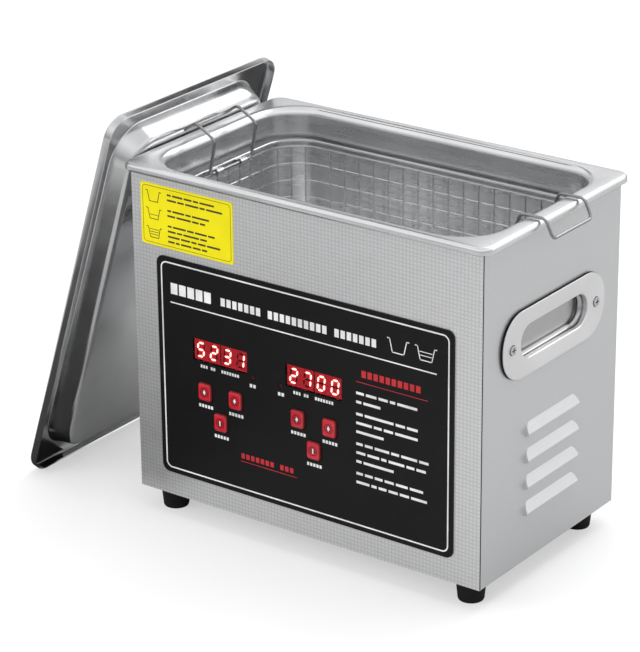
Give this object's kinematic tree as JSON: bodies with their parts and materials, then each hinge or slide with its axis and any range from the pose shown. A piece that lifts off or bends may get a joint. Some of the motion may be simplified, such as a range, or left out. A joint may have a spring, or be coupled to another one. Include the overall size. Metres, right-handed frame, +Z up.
{
  "type": "ultrasonic cleaner",
  "caption": "Table-top ultrasonic cleaner: steel casing with a digital front panel, open tank with a hanging wire basket, and a loose pressed lid leaning on its side.",
  "frame": {"origin": "middle of the casing's footprint, on the surface that the feet stand on", "axes": "+Z up, +X to the right along the control front, +Y from the front to the back"},
  "size_m": [0.3619, 0.166, 0.2575],
  "materials": {
    "embossed_steel": "satin sheet with a fine embossed square weave",
    "side_steel": "satin sheet with a very faint weave",
    "base_steel": "plain galvanised sheet",
    "screw_steel": "bright plated steel",
    "tank_steel": "drawn stainless steel, polished",
    "black_rubber": "matt black rubber",
    "overlay_black": "black film, semi-gloss, printed in white and red",
    "sticker_yellow": "yellow printed film",
    "window_red": "clear dark red window",
    "display_black": "dark seven-segment display face with lit red segments",
    "lamp_red": "small red lamp",
    "board_green": "green glass-fibre circuit board",
    "black_plastic": "fine moulded grain",
    "standoff_brass": "plain brass",
    "button_red": "glossy red moulding",
    "handle_steel": "satin-polished stainless steel",
    "cast_aluminium": "machined aluminium",
    "piezo_ceramic": "unglazed ceramic with silvered faces",
    "copper": "thin copper strip",
    "dark_steel": "turned steel and ferrite",
    "heater_silicone": "orange silicone heating mat",
    "sensor_white": "white ceramic-filled plastic",
    "capacitor_blue": "shrink-sleeved can",
    "cable_grey": "flat grey ribbon",
    "cable_red": "insulated wire",
    "lid_steel": "mirror-bright pressed stainless steel",
    "basket_wire": "bright drawn stainless wire and strip"
  },
  "bodies": {
    "cleaner": {"front_panel": "embossed_steel", "right_side_panel": "side_steel", "left_side_panel": "side_steel", "rear_panel": "embossed_steel", "base_plate": "base_steel", "base_screws": "screw_steel", "tank": "tank_steel", "rim_gasket": "black_rubber", "control_overlay": "overlay_black", "warning_sticker": "sticker_yellow", "display_windows": "window_red", "temperature_display": "display_black", "timer_display": "display_black", "indicator_leds": "lamp_red", "control_board": "board_green", "tact_switches": "black_plastic", "board_standoffs": "standoff_brass", "board_screws": "screw_steel", "right_handle_frame": "handle_steel", "left_handle_frame": "handle_steel", "right_handle_cup": "handle_steel", "left_handle_cup": "handle_steel", "handle_gaskets": "black_rubber", "handle_screws": "screw_steel", "rubber_feet": "black_rubber", "foot_screws": "screw_steel", "transducer_horns": "cast_aluminium", "piezo_rings": "piezo_ceramic", "transducer_electrodes": "copper", "transducer_back_masses": "dark_steel", "transducer_bolts": "screw_steel", "heater_pads": "heater_silicone", "temperature_sensor": "sensor_white", "generator_board": "board_green", "heatsink": "cast_aluminium", "power_transistors": "black_plastic", "output_transformer": "dark_steel", "filter_capacitors": "capacitor_blue", "fan_frame": "black_plastic", "fan_screws": "screw_steel", "power_inlet": "black_plastic", "inlet_screws": "screw_steel", "rocker_housing": "black_plastic", "ribbon_cable": "cable_grey", "internal_leads": "cable_red"},
    "lid": {"lid_shell": "lid_steel", "lid_handle": "lid_steel", "lid_handle_screws": "screw_steel"},
    "basket": {"basket_rim": "basket_wire", "basket_mesh": "basket_wire"},
    "right_grip": {"right_basket_grip": "basket_wire"},
    "left_grip": {"left_basket_grip": "basket_wire"},
    "rocker": {"rocker": "button_red"},
    "fan_rotor": {"fan_rotor": "black_plastic"},
    "temperature_up_button": {"temperature_up_button": "button_red"},
    "temperature_down_button": {"temperature_down_button": "button_red"},
    "heater_power_button": {"heater_power_button": "button_red"},
    "time_up_button": {"time_up_button": "button_red"},
    "time_down_button": {"time_down_button": "button_red"},
    "timer_power_button": {"timer_power_button": "button_red"}
  },
  "joints": [
    {"name": "lid_lift", "type": "slide", "parent": "cleaner", "child": "lid", "axis": [0, 0, 1], "range_m": [0, 0.3]},
    {"name": "basket_lift", "type": "slide", "parent": "cleaner", "child": "basket", "axis": [0, 0, 1], "range_m": [0, 0.15]},
    {"name": "right_grip_hinge", "type": "hinge", "parent": "basket", "child": "right_grip", "pos_m": [0.1095, 0, 0.2105], "axis": [0, -1, 0], "range_deg": [0, 100]},
    {"name": "left_grip_hinge", "type": "hinge", "parent": "basket", "child": "left_grip", "pos_m": [-0.1095, 0, 0.2105], "axis": [0, 1, 0], "range_deg": [0, 69]},
    {"name": "rocker_tilt", "type": "hinge", "parent": "cleaner", "child": "rocker", "pos_m": [-0.084, 0.0724, 0.0875], "axis": [-1, 0, 0], "range_deg": [0, 20]},
    {"name": "fan_spin", "type": "hinge", "parent": "cleaner", "child": "fan_rotor", "pos_m": [0.058, 0.068, 0.0625], "axis": [0, 1, 0], "continuous": true},
    {"name": "temperature_up_press", "type": "slide", "parent": "cleaner", "child": "temperature_up_button", "axis": [0, 1, 0], "range_m": [0, 0.0005], "stiffness_N_per_m": 300, "springref_m": -0.003},
    {"name": "temperature_down_press", "type": "slide", "parent": "cleaner", "child": "temperature_down_button", "axis": [0, 1, 0], "range_m": [0, 0.0005], "stiffness_N_per_m": 300, "springref_m": -0.003},
    {"name": "heater_power_press", "type": "slide", "parent": "cleaner", "child": "heater_power_button", "axis": [0, 1, 0], "range_m": [0, 0.0005], "stiffness_N_per_m": 300, "springref_m": -0.003},
    {"name": "time_up_press", "type": "slide", "parent": "cleaner", "child": "time_up_button", "axis": [0, 1, 0], "range_m": [0, 0.0005], "stiffness_N_per_m": 300, "springref_m": -0.003},
    {"name": "time_down_press", "type": "slide", "parent": "cleaner", "child": "time_down_button", "axis": [0, 1, 0], "range_m": [0, 0.0005], "stiffness_N_per_m": 300, "springref_m": -0.003},
    {"name": "timer_power_press", "type": "slide", "parent": "cleaner", "child": "timer_power_button", "axis": [0, 1, 0], "range_m": [0, 0.0005], "stiffness_N_per_m": 300, "springref_m": -0.003}
  ]
}
